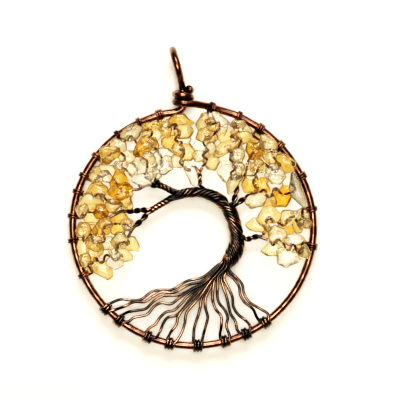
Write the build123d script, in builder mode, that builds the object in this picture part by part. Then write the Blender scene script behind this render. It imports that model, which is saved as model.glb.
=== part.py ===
from build123d import *
import math
import os
import numpy as np

# Tree of life pendant in antique copper wire, with stone chips strung in its crown.
# Millimetres. The front faces +Z and the bail points to +Y. The pendant is laid out about the
# middle of the ring, and at the end it is moved to where it rests on its back.

# Driving sizes
RING_DIAMETER = 48.5  # between the middles of the ring's wire
FRAME_WIRE = 1.5  # thick wire of the ring, the coil at the neck and the bail
ROOT_WIRE = 0.5  # soft wire of the roots, trunk and branches
CROWN_WIRE = 0.32  # thin wire that carries the chips and is wound on the ring
REST_HEIGHT = 2.4  # from the surface under the pendant up to the middle of the ring
BAIL_INSIDE = 6.1  # clear diameter of the bail's eye
TRUNK_WIDTH = 3.0  # of the bundle above the foot
TRUNK_TWIST_PITCH = 11.0  # length of the trunk in which its strands go round once
THINNEST_CHIP = 1.15
CHIP_DEPTH = 0.47  # a chip's thickness, as a share of its width

# Clearances
WRAP_CLEARANCE = 0.05  # between a winding and the wire under it
TURN_CLEARANCE = 0.14  # between two turns of one winding
STRAND_CLEARANCE = 0.12  # between two strands of a twist
BORE_CLEARANCE = 0.1  # between a chip's bore and the thread in it
CHIP_CLEARANCE = 0.15  # between two chips, or a chip and a wire

# Places in the tables are read off a front view in small units, 119 to the ring's radius,
# x to the right and y down. The ring's middle is MIDDLE, and the pendant leans in that view.
MIDDLE = (193.9, 227.2)
UNITS_IN_RADIUS = 119.0
LEAN = math.radians(4.7)

RING_RADIUS = RING_DIAMETER / 2
UNIT = RING_RADIUS / UNITS_IN_RADIUS
UP = Vector(0, 0, 1)


def place(x, y, z=0.0):
    """A place of the front view in millimetres, with the pendant turned upright."""
    across = (x - MIDDLE[0]) * UNIT
    along = (MIDDLE[1] - y) * UNIT
    return Vector(
        across * math.cos(LEAN) + along * math.sin(LEAN),
        along * math.cos(LEAN) - across * math.sin(LEAN),
        z,
    )


def bend(points, widest=None, reach=0.49):
    """Straight runs through the points, joined by tangent arcs, as one wire.

    The arcs are as large as the runs allow, or at each corner no wider than given.
    """
    runs = []
    start = points[0]
    widest = widest or [math.inf] * len(points)
    for before, corner, after, limit in zip(points, points[1:], points[2:], widest[1:]):
        back = before - corner
        ahead = after - corner
        half_turn = (math.pi - math.radians(back.get_angle(ahead))) / 2
        if half_turn < 0.002:
            continue
        radius = min(reach * min(back.length, ahead.length) / math.tan(half_turn), limit)
        length = radius * math.tan(half_turn)
        arc_start = corner + back.normalized() * length
        arc_end = corner + ahead.normalized() * length
        inward = (back.normalized() + ahead.normalized()).normalized()
        middle = corner + inward * radius * (1 / math.cos(half_turn) - 1)
        runs.append(Edge.make_line(start, arc_start))
        runs.append(Edge.make_three_point_arc(arc_start, middle, arc_end))
        start = arc_end
    runs.append(Edge.make_line(start, points[-1]))
    return Wire(runs)


def draw_wire(path, diameter, mode=Mode.ADD):
    """A round wire along the path, for the open part builder."""
    with BuildSketch(Plane(origin=path @ 0, z_dir=path % 0)) as section:
        Circle(diameter / 2)
    sweep(section.sketch, path=path, mode=mode)


pieces = {}


def keep(piece, name):
    """Labels a finished piece and keeps it for the end, when all are moved and written."""
    piece.part.label = name
    pieces[name] = piece.part


# Ring, coil and bail: one length of thick wire

# Middle of the ring's wire: angle in the front view, and share of the ring's radius
RING_TABLE = [
    (69, 0.999), (55, 0.994), (40, 0.993), (25, 0.996), (10, 1.003), (-5, 1.004),
    (-20, 1.004), (-35, 1.002), (-50, 0.998), (-65, 0.995), (-80, 0.993), (-95, 0.995),
    (-110, 0.996), (-125, 0.999), (-140, 1.002), (-155, 1.008), (-170, 1.015), (-185, 1.018),
    (-200, 1.017), (-215, 1.010), (-230, 0.998), (-244, 0.983), (-255, 0.977),
]
RING_STEP = math.radians(15)
COIL_MIDDLE = 183.2
COIL_FIRST = 104.0
COIL_TURNS = 1.88
COIL_STEPS = 10
COIL_TURN_STEP = 2 * math.pi / COIL_STEPS
BAIL_TOP = (172.9, 51.0)
BAIL_FOOT = (181.3, 81.0)
BAIL_STEP = math.radians(34)  # three of them on each side of the bail's top
# From the coil's front pass down to the ring, each with its share of the pass's height
RIGHT_END = [(196.5, 104.7, 0.75), (208.5, 106.8, 0.3), (221.0, 110.6, 0.05)]
# From the ring, behind the coil, up to the bail, each with its share of the rear leg's depth
LEFT_END = [
    (173.5, 113.0, 0.5), (181.3, 110.6, 1.0), (184.3, 105.0, 1.0), (183.2, 96.5, 1.0),
    (182.4, 88.0, 1.0),
]
FRONT_LEG = [(182.6, 88.5), (183.2, 95.0)]
LEG_GAP = FRAME_WIRE + WRAP_CLEARANCE
COIL_DEPTH = FRAME_WIRE / 2 + 1.5 * LEG_GAP - REST_HEIGHT


def coil_point(turn):
    """A corner of the coil round the bail's two legs, a front pass at each whole turn."""
    around = 2 * math.pi * turn
    reach = LEG_GAP / math.cos(COIL_TURN_STEP / 2)
    side = place(COIL_MIDDLE, COIL_FIRST - turn * LEG_GAP / UNIT)
    leg_side = math.copysign(LEG_GAP / 2, math.cos(around))
    right = (place(COIL_MIDDLE + 1, COIL_FIRST) - place(COIL_MIDDLE, COIL_FIRST)).normalized()
    depth = COIL_DEPTH + leg_side + reach * math.cos(around)
    return side - right * reach * math.sin(around) + UP * depth


def frame_points():
    """Corners of the thick wire: tail, coil, ring, rear leg, bail and front leg."""
    tail_first = [
        coil_point(COIL_TURNS - step / COIL_STEPS) for step in range(int(COIL_TURNS * COIL_STEPS))
    ]
    front_pass = COIL_DEPTH + 1.5 * LEG_GAP
    right_end = [place(COIL_MIDDLE, COIL_FIRST, front_pass)]
    right_end += [place(x, y, share * front_pass) for x, y, share in RIGHT_END]
    ring = []
    for angle, share in RING_TABLE:
        radius = share * UNITS_IN_RADIUS / math.cos(RING_STEP / 2)
        turn = math.radians(angle)
        ring.append(place(MIDDLE[0] + radius * math.cos(turn), MIDDLE[1] - radius * math.sin(turn)))
    rear = COIL_DEPTH - LEG_GAP / 2
    front = COIL_DEPTH + LEG_GAP / 2
    left_end = [place(x, y, share * rear) for x, y, share in LEFT_END]
    foot = place(*BAIL_FOOT)
    top = place(*BAIL_TOP)
    lean = (top - foot).normalized()
    reach = (BAIL_INSIDE + FRAME_WIRE) / 2
    middle = top - lean * reach + UP * (reach + FRAME_WIRE / 2 - REST_HEIGHT)
    bail = []
    for step in range(-3, 4):
        around = BAIL_STEP * step
        out = reach / math.cos(BAIL_STEP / 2)
        bail.append(middle + lean * out * math.cos(around) + UP * out * math.sin(around))
    front_leg = [place(x, y, front) for x, y in FRONT_LEG]
    return tail_first + right_end + ring + left_end + bail + front_leg


ring_path = bend(frame_points())
with BuildPart() as ring_frame:
    draw_wire(ring_path, FRAME_WIRE)
keep(ring_frame, "ring_frame")


# Windings of thin wire round the ring

WINDING_STEPS = 8
RING_STEPS = 700
RING_STEP_RANGE = range(85, 608)  # the ring itself, without the coil and the bail
RING_SAMPLES = [(step / RING_STEPS, ring_path @ (step / RING_STEPS)) for step in RING_STEP_RANGE]


def ring_share(x, y):
    """How far along the thick wire a place of the front view lies, as a share of its length."""
    spot = place(x, y)
    return min(RING_SAMPLES, key=lambda sample: (sample[1] - spot).length)[0]


def winding(x, y, turns, wire_size, direction, first=math.pi / 2):
    """Corners of a wire wound round the ring. It starts behind the ring, going outwards."""
    step = 2 * math.pi / WINDING_STEPS
    reach = ((FRAME_WIRE + wire_size) / 2 + WRAP_CLEARANCE) / math.cos(step / 2)
    pitch = wire_size + TURN_CLEARANCE
    middle = ring_share(x, y)
    count = round(turns * WINDING_STEPS)
    corners = []
    for index in range(count + 1):
        share = middle + direction * (index / count - 0.5) * turns * pitch / ring_path.length
        around = first + index * step
        along = ring_path % share
        out = along.cross(UP).normalized()
        out = out if out.dot(ring_path @ share) > 0 else -out
        across = out.cross(along).normalized()
        across = across if across.Z > 0 else -across
        spot = ring_path @ share
        corners.append(spot - out * reach * math.cos(around) - across * reach * math.sin(around))
    return corners


# Roots: eight wires, each one a leg down to the ring, a winding round it and a leg back up

ROOT_TURNS = 2.5
ROOT_STEP = ROOT_WIRE + STRAND_CLEARANCE
NEAR_RING = (FRAME_WIRE + ROOT_WIRE) / 2
# Middle of each winding in the front view
ROOT_WINDINGS = [
    (106.3, 308.5), (120.0, 319.5), (148.5, 335.3), (170.0, 342.0),
    (197.6, 345.0), (225.3, 341.8), (246.0, 334.2), (264.8, 321.6),
]
# Each leg from the ring up to the foot of the trunk, two to a wire
ROOT_LEGS = [
    [(110, 303.5), (121, 299.3), (131, 300.2), (141, 299.4), (152, 291.6), (161, 290.0),
     (172, 289.6), (187, 281.2), (203, 277.0)],
    [(115, 309.5), (124, 306.5), (134, 302.0), (145, 301.5), (154, 295.6), (162, 292.0),
     (173, 292.6), (188, 285.0), (204, 280.0)],
    [(122, 315.0), (129, 311.6), (137, 310.3), (146, 308.4), (154, 301.0), (163, 295.8),
     (179, 294.6), (193, 288.0), (205, 281.0)],
    [(129, 321.0), (134, 317.4), (141, 315.9), (148, 313.6), (154.5, 306.0), (161, 302.6),
     (171, 303.6), (180, 297.0), (192, 289.0), (205, 282.0)],
    [(149, 328.5), (155, 324.6), (160, 317.6), (166, 312.3), (174, 310.3), (180, 305.0),
     (187, 297.0), (197, 289.0), (208, 277.5)],
    [(156, 337.0), (160, 331.6), (163.5, 323.0), (168, 317.2), (176, 315.4), (183, 308.6),
     (190, 299.4), (199, 290.0), (209, 278.5)],
    [(168.5, 336.5), (171.5, 331.0), (176.5, 324.4), (178, 317.4), (182.5, 310.0), (189, 303.0),
     (196, 296.0), (203, 288.0), (209.5, 280.0)],
    [(177.5, 339.5), (182, 331.5), (184.8, 323.0), (186.4, 313.0), (192, 305.5), (199, 297.6),
     (205, 289.0), (210.5, 281.0)],
    [(193.5, 338.0), (194.5, 327.0), (198, 316.0), (200.2, 307.5), (201.8, 298.0), (208.5, 288.0),
     (214.5, 277.0)],
    [(202.6, 337.5), (205.4, 327.0), (207.8, 317.0), (205.5, 308.0), (205.6, 298.0),
     (210.4, 288.0), (215.5, 277.5)],
    [(220, 335.5), (221.4, 325.0), (221, 316.0), (215.5, 308.5), (212.8, 300.0), (213, 289.0),
     (215.5, 278.5)],
    [(229.5, 335.5), (226.4, 325.5), (227.6, 317.0), (224.6, 309.5), (219.0, 302.5),
     (217.2, 294.0), (217.8, 285.0), (218, 276.5)],
    [(237.5, 330.5), (235.4, 321.5), (230.6, 313.6), (228.6, 305.5), (226.4, 296.0),
     (223.4, 287.0), (221.5, 277.5)],
    [(250, 326.0), (245.5, 320.2), (238, 314.2), (233.4, 306.5), (232.4, 297.0), (228.4, 287.6),
     (224.0, 277.5)],
    [(257, 317.5), (252.6, 308.6), (244.5, 302.0), (240.2, 294.5), (239.0, 286.5), (234.0, 279.0),
     (227.6, 272.8)],
    [(267.5, 313.5), (260, 308.4), (249, 301.4), (244.0, 293.0), (242.0, 284.0), (236.5, 277.4),
     (230.0, 271.2)],
]
# The foot of the trunk: its middle, and the view's direction across it
FOOT = (225.2, 265.6)
FOOT_ACROSS = (0.80, 0.60)
FOOT_ROWS = 4


def foot_spot(leg):
    """Where a leg comes out of the trunk's foot: four columns across, four rows deep."""
    column, row = divmod(leg, FOOT_ROWS)
    middle = (FOOT_ROWS - 1) / 2
    along = (column - middle) * ROOT_STEP / UNIT
    depth = (row - middle) * ROOT_STEP
    return FOOT[0] + along * FOOT_ACROSS[0], FOOT[1] + along * FOOT_ACROSS[1], depth


def leg_corners(leg, side):
    """A root's leg from the ring up to the foot, behind the ring or in front of it."""
    end_x, end_y, depth = foot_spot(leg)
    outer, *rest = ROOT_LEGS[leg]
    corners = [place(*outer, side * NEAR_RING)]
    corners += [place(x, y, depth) for x, y in rest]
    corners.append(place(end_x, end_y, depth))
    return corners


root_paths = []
for number, (x, y) in enumerate(ROOT_WINDINGS):
    behind = leg_corners(2 * number, -1)
    before = leg_corners(2 * number + 1, 1)
    wound = winding(x, y, ROOT_TURNS, ROOT_WIRE, 1)
    root_paths.append(bend(behind[::-1] + wound + before))
    with BuildPart() as root:
        draw_wire(root_paths[-1], ROOT_WIRE)
    keep(root, f"root_wire_{number + 1}")


# Trunk: the sixteen strands twisted into one bundle

# Middle of the trunk from the foot up, and its width as a share of the trunk's
TRUNK_TABLE = [
    (225.9, 264.6, 0.90), (230.6, 258.6, 1.08), (234.5, 251.2, 1.12), (236.9, 243.0, 0.98),
    (236.6, 234.0, 0.90), (234.8, 225.0, 0.90), (232.0, 216.0, 0.94), (227.6, 207.6, 0.88),
    (220.6, 200.6, 0.83), (211.4, 195.4, 0.76), (200.6, 192.4, 0.70), (190.0, 192.6, 0.69),
    (182.0, 194.2, 0.64), (176.4, 195.6, 0.56),
]
TRUNK_RIDGES = 10
RIDGE_DEPTH = 0.13  # as a share of the bundle's half width
TRUNK_SECTIONS = 44


def ridged_face(spine, share, half_width, turn):
    """A section of the bundle: one arc for each strand that shows on its outside."""
    frame = Plane(origin=spine @ share, x_dir=UP, z_dir=spine % share)
    step = 2 * math.pi / TRUNK_RIDGES

    def spot(radius, around):
        return frame.from_local_coords((radius * math.cos(around), radius * math.sin(around), 0))

    arcs = []
    for ridge in range(TRUNK_RIDGES):
        around = turn + ridge * step
        arcs.append(
            Edge.make_three_point_arc(
                spot(half_width * (1 - RIDGE_DEPTH), around),
                spot(half_width, around + step / 2),
                spot(half_width * (1 - RIDGE_DEPTH), around + step),
            )
        )
    return Face(Wire(arcs))


def along_table(table, share, column):
    """A column of a table at a share of the way down it, in a straight line between rows."""
    row = share * (len(table) - 1)
    low = min(int(row), len(table) - 2)
    return table[low][column] + (row - low) * (table[low + 1][column] - table[low][column])


trunk_spine = Edge.make_spline([place(x, y) for x, y, share in TRUNK_TABLE])
with BuildPart() as trunk:
    faces = []
    for section in range(TRUNK_SECTIONS + 1):
        share = section / TRUNK_SECTIONS
        width = TRUNK_WIDTH * along_table(TRUNK_TABLE, share, 2)
        turn = -2 * math.pi * share * trunk_spine.length / TRUNK_TWIST_PITCH
        faces.append(ridged_face(trunk_spine, share, width / 2, turn))
    loft(faces, ruled=True)
keep(trunk, "trunk")


# Branches: pairs of strands twisted together, two of the stems four strands thick

PAIR_REACH = (ROOT_WIRE + STRAND_CLEARANCE) / 2
FOUR_REACH = PAIR_REACH * math.sqrt(2)


def twist(spine, reach, first, last):
    """Corners of one strand that goes round a spine, from one angle to another."""
    count = max(2, math.ceil(abs(last - first) / (math.pi / 4)))
    corners = []
    for index in range(count + 1):
        share = index / count
        along = spine % share
        side = UP.cross(along).normalized()
        around = first + (last - first) * share
        out = side * math.cos(around) + UP * math.sin(around)
        corners.append(spine @ share + out * reach)
    return corners


def spine_of(points, depth=0.0):
    return Edge.make_spline([place(x, y, depth) for x, y in points])


# Each branch from the trunk outwards in the front view, half turns of its twist, and the cut
# ends of its two strands
BRANCHES = {
    "branch_top": (
        [(199.6, 184.6), (199.3, 179.0), (199.5, 173.0)], 2,
        [[(197.2, 169.6), (194.0, 166.2)], [(201.0, 170.2), (202.0, 167.6)]],
    ),
    "branch_right_high": (
        [(233.6, 202.6), (235.2, 196.4), (236.4, 190.4), (237.2, 185.0)], 2,
        [[(239.0, 181.5), (242.4, 176.8)], [(238.2, 182.6), (238.6, 180.6)]],
    ),
    "branch_right_middle": (
        [(238.6, 203.4), (242.6, 199.8), (247.0, 197.6), (251.0, 194.6)], 2,
        [[(253.6, 191.4), (255.8, 188.6)], [(253.4, 193.4), (255.2, 192.2)]],
    ),
    "branch_right_low": (
        [(246.4, 239.8), (250.6, 238.4), (254.6, 237.0), (258.6, 236.6)], 2,
        [[(262.4, 237.8), (267.7, 239.8)], [(260.6, 236.2), (262.2, 236.4)]],
    ),
}
# A stem of four strands forks into two pairs: the stem, and each pair as above
FORKS = {
    "left_high": (
        [(172.4, 191.4), (169.0, 189.6), (164.8, 187.4), (160.6, 185.6)], 2,
        {
            "branch_left_high": (
                [(158.4, 183.0), (156.6, 181.2)], 0,
                [[(155.4, 179.4), (154.4, 177.9)], [(155.0, 180.6), (153.6, 179.4)]],
            ),
            "branch_left_upper": (
                [(157.0, 186.2), (153.6, 185.4), (150.4, 184.8)], 1,
                [[(145.0, 186.2), (138.6, 189.4), (131.2, 189.7)], [(148.6, 184.6), (147.0, 185.2)]],
            ),
        },
    ),
    "left_low": (
        [(170.4, 198.6), (165.0, 202.2), (159.0, 205.6), (152.6, 209.4)], 4,
        {
            "branch_left_lower": (
                [(148.2, 210.2), (142.0, 210.0), (134.0, 211.2), (127.0, 211.2)], 3,
                [[(122.6, 210.8), (116.6, 213.6), (109.4, 217.4)], [(124.6, 211.4), (122.6, 211.9)]],
            ),
            "branch_left_low": (
                [(147.6, 213.6), (143.6, 218.2), (139.0, 222.8), (135.4, 226.0)], 2,
                [[(132.6, 229.4), (127.5, 238.6)], [(134.0, 227.6), (133.2, 229.0)]],
            ),
        },
    ),
}


def cut_end(spots, corner):
    return [place(x, y, corner.Z) for x, y in spots]


def save_strands(name, strands):
    with BuildPart() as branch:
        for corners in strands:
            draw_wire(bend(corners), ROOT_WIRE)
    keep(branch, name)


branch_strands = {}
for name, (spots, half_turns, ends) in BRANCHES.items():
    strands = []
    for strand, spots_beyond in enumerate(ends):
        first = math.pi * (strand + 0.5)
        corners = twist(spine_of(spots), PAIR_REACH, first, first + half_turns * math.pi)
        strands.append(corners + cut_end(spots_beyond, corners[-1]))
    branch_strands[name] = strands
for stem, quarter_turns, pairs in FORKS.values():
    stem_spine = spine_of(stem)
    for pair, (name, (spots, half_turns, ends)) in enumerate(pairs.items()):
        fork_side = math.pi * (1 - pair)
        pair_spine = spine_of(spots)
        strands = []
        for strand, spots_beyond in enumerate(ends):
            last = fork_side + math.pi / 4 * (1 - 2 * strand)
            stem_corners = twist(stem_spine, FOUR_REACH, last - quarter_turns * math.pi / 2, last)
            pair_first = math.pi / 2 if math.sin(last) > 0 else -math.pi / 2
            corners = twist(pair_spine, PAIR_REACH, pair_first, pair_first + half_turns * math.pi)
            strands.append(stem_corners + corners + cut_end(spots_beyond, corners[-1]))
        branch_strands[name] = strands
for name, strands in branch_strands.items():
    save_strands(name, strands)


# Crown: sixteen thin wires, each with its chips, from a branch to a winding on the ring

# For each wire: where it starts by its branch, where it is wound and how many turns, and its
# chips in order from the branch: middle, length, width and the way its length points in degrees
STRINGS = {
    "left_1": ((191.0, 167.6), (159.4, 115.5), 2.75, [
        (190.5, 174.0, 16, 7, -68), (176.0, 160.4, 10, 9, 0), (188.6, 151.4, 11, 12, 0),
        (178.4, 151.4, 8, 8, 0), (183.8, 140.7, 8, 7, 0), (168.6, 142.5, 12, 9, 20),
        (183.8, 132.0, 11, 10, 0), (172.0, 131.5, 10, 9, 0), (178.4, 122.0, 16, 8, -5),
        (165.9, 127.5, 8, 12, 10)]),
    "left_2": ((155.6, 177.0), (139.8, 122.8), 1.75, [
        (155.0, 172.0, 12, 9, 30), (163.5, 165.7, 15, 10, 42), (161.4, 155.9, 12, 10, 0),
        (155.2, 145.0, 8, 9, 0), (144.5, 142.0, 14, 9, 15), (152.5, 134.2, 13, 9, 10),
        (153.5, 126.6, 12, 6, 0)]),
    "left_3": ((151.8, 180.6), (117.5, 135.0), 1.75, [
        (145.0, 178.6, 15, 9, 15), (142.7, 168.5, 13, 12, 30), (149.0, 159.6, 9, 9, 0),
        (137.4, 159.0, 12, 8, 0), (141.5, 151.2, 11, 9, 20), (132.9, 136.3, 14, 9, 25)]),
    "left_4": ((139.8, 186.6), (97.0, 156.0), 1.75, [
        (131.2, 168.6, 12, 12, 0), (119.5, 165.0, 9, 8, 0), (127.0, 156.4, 10, 10, 0),
        (120.4, 147.4, 11, 10, 30), (112.0, 155.4, 14, 11, 40)]),
    "left_5": ((129.4, 189.2), (84.6, 175.5), 1.75, [
        (126.0, 191.0, 9, 14, 0), (116.4, 190.6, 15, 11, 20), (118.6, 179.4, 13, 10, 60),
        (108.4, 167.9, 14, 11, 0), (104.4, 178.0, 9, 8, 0), (96.6, 174.5, 9, 11, 0)]),
    "left_6": ((121.6, 208.2), (78.0, 191.4), 1.75, [
        (124.6, 203.6, 14, 9, -35), (112.8, 204.6, 9, 9, 0), (103.4, 201.6, 11, 8, 0),
        (104.6, 192.0, 10, 9, 0), (92.4, 198.0, 15, 11, 0), (90.9, 186.3, 14, 9, 15)]),
    "left_7": ((107.8, 216.8), (73.5, 216.4), 1.75, [
        (103.4, 211.6, 9, 9, 0), (92.7, 212.0, 14, 13, 0), (83.4, 208.6, 8, 9, 0)]),
    "left_8": ((129.4, 228.4), (74.2, 239.8), 1.75, [
        (127.6, 224.4, 8, 8, 0), (118.6, 222.6, 15, 13, 60), (106.2, 223.6, 9, 8, 0),
        (101.6, 231.8, 12, 9, 0), (106.5, 241.2, 12, 9, 0), (95.0, 243.4, 11, 10, 40),
        (91.0, 230.6, 10, 10, 0), (84.2, 246.4, 8, 11, 0), (83.8, 231.6, 9, 11, 0)]),
    "left_9": ((127.0, 240.0), (84.0, 274.0), 1.75, [
        (131.6, 244.4, 10, 9, 0), (120.6, 240.6, 11, 11, 0), (113.4, 249.4, 8, 9, 0),
        (123.4, 255.2, 11, 9, -40), (115.2, 261.8, 12, 9, 30), (105.2, 252.2, 9, 8, 0),
        (104.6, 268.4, 15, 10, -30), (94.5, 255.6, 13, 11, 40), (92.6, 268.2, 11, 8, 30),
        (86.0, 259.6, 7, 9, 0)]),
    "right_1": ((202.4, 166.4), (210.8, 106.0), 1.75, [
        (206.6, 164.0, 13, 12, 0), (199.8, 155.6, 8, 8, 0), (211.0, 151.0, 8, 10, 0),
        (203.0, 146.2, 14, 10, 30), (204.2, 134.8, 11, 8, 20), (212.4, 137.6, 8, 9, 0),
        (218.4, 129.6, 8, 8, 0), (222.6, 121.4, 14, 6, -42), (211.6, 125.0, 9, 9, 0),
        (203.6, 123.6, 9, 12, 0)]),
    "right_2": ((239.6, 175.4), (239.3, 117.0), 1.75, [
        (233.4, 182.6, 16, 7, 60), (229.0, 170.4, 13, 12, 0), (238.0, 168.0, 8, 8, 0),
        (226.0, 159.4, 12, 9, 0), (236.6, 157.4, 9, 9, 0), (226.6, 149.0, 16, 8, 27),
        (238.2, 147.6, 9, 9, 0), (243.0, 139.4, 12, 7, -10), (230.6, 135.4, 9, 11, 0),
        (245.6, 130.6, 12, 12, 0), (236.0, 126.0, 9, 7, 0)]),
    "right_3": ((244.0, 176.4), (259.9, 129.3), 2.75, [
        (246.0, 171.4, 8, 9, 0), (246.2, 161.8, 10, 9, 0), (250.8, 152.6, 12, 11, 60),
        (258.8, 148.6, 8, 9, 0), (267.0, 143.8, 12, 9, -40), (256.0, 138.6, 13, 8, 0)]),
    "right_4": ((254.6, 187.0), (280.0, 145.0), 2.75, [
        (252.4, 181.6, 11, 12, 0), (256.4, 169.0, 10, 10, 0), (263.2, 160.4, 9, 9, 0),
        (276.6, 174.4, 13, 11, 0), (284.0, 163.4, 14, 12, -40), (272.4, 156.2, 10, 8, 0)]),
    "right_5": ((256.8, 190.0), (302.3, 176.2), 2.75, [
        (256.0, 200.9, 13, 9, 10), (263.6, 186.2, 10, 10, 0), (268.8, 200.4, 9, 12, 0),
        (274.6, 183.8, 10, 10, 0), (281.6, 196.8, 16, 11, 50), (296.4, 191.0, 22, 8, -70)]),
    "right_6": ((262.6, 234.6), (312.8, 208.6), 1.75, [
        (267.4, 232.4, 7, 7, 0), (257.9, 226.6, 15, 9, -10), (269.5, 216.6, 15, 11, 10),
        (287.0, 228.0, 13, 10, 0), (285.4, 216.6, 10, 9, 0), (293.6, 216.0, 6, 6, 0),
        (296.6, 226.4, 8, 9, 0), (304.0, 223.6, 9, 8, 0), (303.6, 213.8, 12, 8, 20)]),
    "right_7": ((269.6, 240.8), (313.4, 246.5), 2.75, [
        (273.6, 249.6, 13, 9, 0), (276.6, 234.8, 12, 11, 40), (284.8, 244.0, 9, 9, 0),
        (286.6, 256.4, 15, 11, -30), (293.6, 238.0, 13, 8, 0), (296.6, 254.4, 8, 7, 0),
        (302.6, 252.6, 8, 9, 0), (302.0, 243.0, 8, 8, 0)]),
}
CHIP_SIDES = 6
CHIP_TILT = math.radians(20)
# Sections of a chip: height as a share of its half thickness, and size as a share of its outline
CHIP_LEVELS = [(-0.88, 0.46), (-0.40, 0.90), (0.42, 0.88), (0.90, 0.42)]
CHIP_SPREAD = 1.7  # an ellipsoid round a whole chip, corners too, over the outline in the table
LONGEST_CHIP = CHIP_SPREAD * UNIT * max(row[2] for line in STRINGS.values() for row in line[3])
CROWN_MIDDLE = 0.75  # in front of the middle of the ring
CROWN_SPREAD = 1.5  # how far chips are drawn in front of that and behind it
CROWN_FRONT = 4.4  # no chip stands further forward
LEAD_IN = 1.9  # last straight run of each thread, between the crown and its winding
LEAD_DEPTH = 0.7
# Each chip is bored from both ends, so its two bores meet inside it at an angle
BORE_SHIFT = 0.35  # of that meeting place from the chip's middle, as a share of its size
BORE_BEND = 0.42
SETTLING_STEPS = 500
SETTLING_PULL = 0.03
SETTLING_SHARE = 0.7
SAMPLE_STEP = 0.4


class Chip:
    """One stone chip: an ellipsoid while the crown settles, then a faceted solid in it."""

    def __init__(self, number, row):
        x, y, length, width, turn = row
        self.number = number
        depth = CROWN_MIDDLE + CROWN_SPREAD * math.sin(2.4 * number)
        self.home = np.array([*place(x, y, depth)])
        self.middle = self.home.copy()
        long, wide = CHIP_SPREAD * length * UNIT, CHIP_SPREAD * width * UNIT
        deep = max(THINNEST_CHIP, CHIP_DEPTH * min(long, wide))
        self.halves = np.array([long, max(wide, THINNEST_CHIP), deep]) / 2
        around = math.radians(turn) - LEAN
        long_way = np.array([math.cos(around), math.sin(around), 0.0])
        tilt = CHIP_TILT * math.sin(1.7 * number)
        side = np.array([-math.sin(around), math.cos(around), 0.0])
        up = np.array([0.0, 0.0, 1.0])
        tilted_side = side * math.cos(tilt) + up * math.sin(tilt)
        tilted_up = up * math.cos(tilt) - side * math.sin(tilt)
        self.axes = np.array([long_way, tilted_side, tilted_up])
        self.shape = self.axes.T @ np.diag(self.halves**2) @ self.axes


chips = []
string_chips = {}
for name, (start, wound, turns, rows) in STRINGS.items():
    string_chips[name] = [Chip(len(chips) + index, row) for index, row in enumerate(rows)]
    chips += string_chips[name]


def points_of(path):
    count = max(2, round(path.length / SAMPLE_STEP))
    return [np.array([*(path @ (index / count))]) for index in range(count + 1)]


crown_ends = {}
obstacles = [(np.array([*spot]), FRAME_WIRE / 2) for share, spot in RING_SAMPLES]
obstacles += [(spot, TRUNK_WIDTH * TRUNK_TABLE[0][2] / 2) for spot in points_of(trunk_spine)]
for strands in branch_strands.values():
    for corners in strands:
        obstacles += [(spot, ROOT_WIRE / 2) for spot in points_of(bend(corners))]
for name, (start, wound, turns, rows) in STRINGS.items():
    corners = winding(*wound, turns, CROWN_WIRE, 1)
    lead = corners[0]
    inward = (Vector(0, 0, 0) - lead).normalized()
    lead_in = Vector(lead.X, lead.Y, 0) + inward * LEAD_IN - UP * LEAD_DEPTH
    crown_ends[name] = (place(*start), [lead_in] + corners)
    obstacles += [(np.array([*corner]), CROWN_WIRE / 2 + WRAP_CLEARANCE) for corner in corners]
obstacle_spots = np.array([spot for spot, size in obstacles])
obstacle_sizes = np.array([size for spot, size in obstacles])


def bore_spots(line):
    """Where the thread turns in each chip: its middle, moved towards its two neighbours."""
    start, corners = crown_ends[line]
    spots = [np.array([*start])] + [chip.middle for chip in string_chips[line]]
    spots.append(np.array([*corners[0]]))
    found = []
    for chip, before, after in zip(string_chips[line], spots, spots[2:]):
        shift = (before + after) / 2 - chip.middle
        size = math.sqrt(shift @ np.linalg.solve(chip.shape, shift))
        found.append(chip.middle + shift * min(1.0, BORE_SHIFT / max(size, 1e-6)))
    return found


def facing(shapes, away):
    """Unit vectors straight across the gaps between ellipsoids, or ellipsoids and points."""
    ways = np.linalg.solve(shapes, away[:, :, None])[:, :, 0]
    return ways / (np.linalg.norm(ways, axis=1)[:, None] + 1e-9)


def reach(shapes, ways):
    """How far each ellipsoid reaches from its middle along a unit vector."""
    return np.sqrt(np.einsum("ni,nij,nj->n", ways, shapes, ways))


def gaps_along(ways, away, reaches):
    return np.einsum("ni,ni->n", ways, away) - reaches - CHIP_CLEARANCE


def apart_from_chips(moves, middles, shapes):
    one, other = np.triu_indices(len(chips), 1)
    near = np.linalg.norm(middles[other] - middles[one], axis=1) < LONGEST_CHIP + CHIP_CLEARANCE
    one, other = one[near], other[near]
    away = middles[other] - middles[one]
    ways = facing(shapes[one] + shapes[other], away)
    gaps = gaps_along(ways, away, reach(shapes[one], ways) + reach(shapes[other], ways))
    short = ways * np.minimum(gaps, 0)[:, None]
    np.add.at(moves, one, short / 2)
    np.add.at(moves, other, -short / 2)


def apart_from_obstacles(moves, middles, shapes):
    far = np.linalg.norm(middles[:, None, :] - obstacle_spots[None, :, :], axis=2)
    one, spot = np.nonzero(far < (LONGEST_CHIP + TRUNK_WIDTH) / 2)
    away = middles[one] - obstacle_spots[spot]
    ways = facing(shapes[one], away)
    gaps = gaps_along(ways, away, reach(shapes[one], ways) + obstacle_sizes[spot])
    deepest = {}
    for index, gap in enumerate(gaps):
        if gap < min(0, gaps[deepest.get(one[index], index)] + 1e-12):
            deepest[one[index]] = index
    for chip_index, index in deepest.items():
        moves[chip_index] -= ways[index] * gaps[index]


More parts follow.
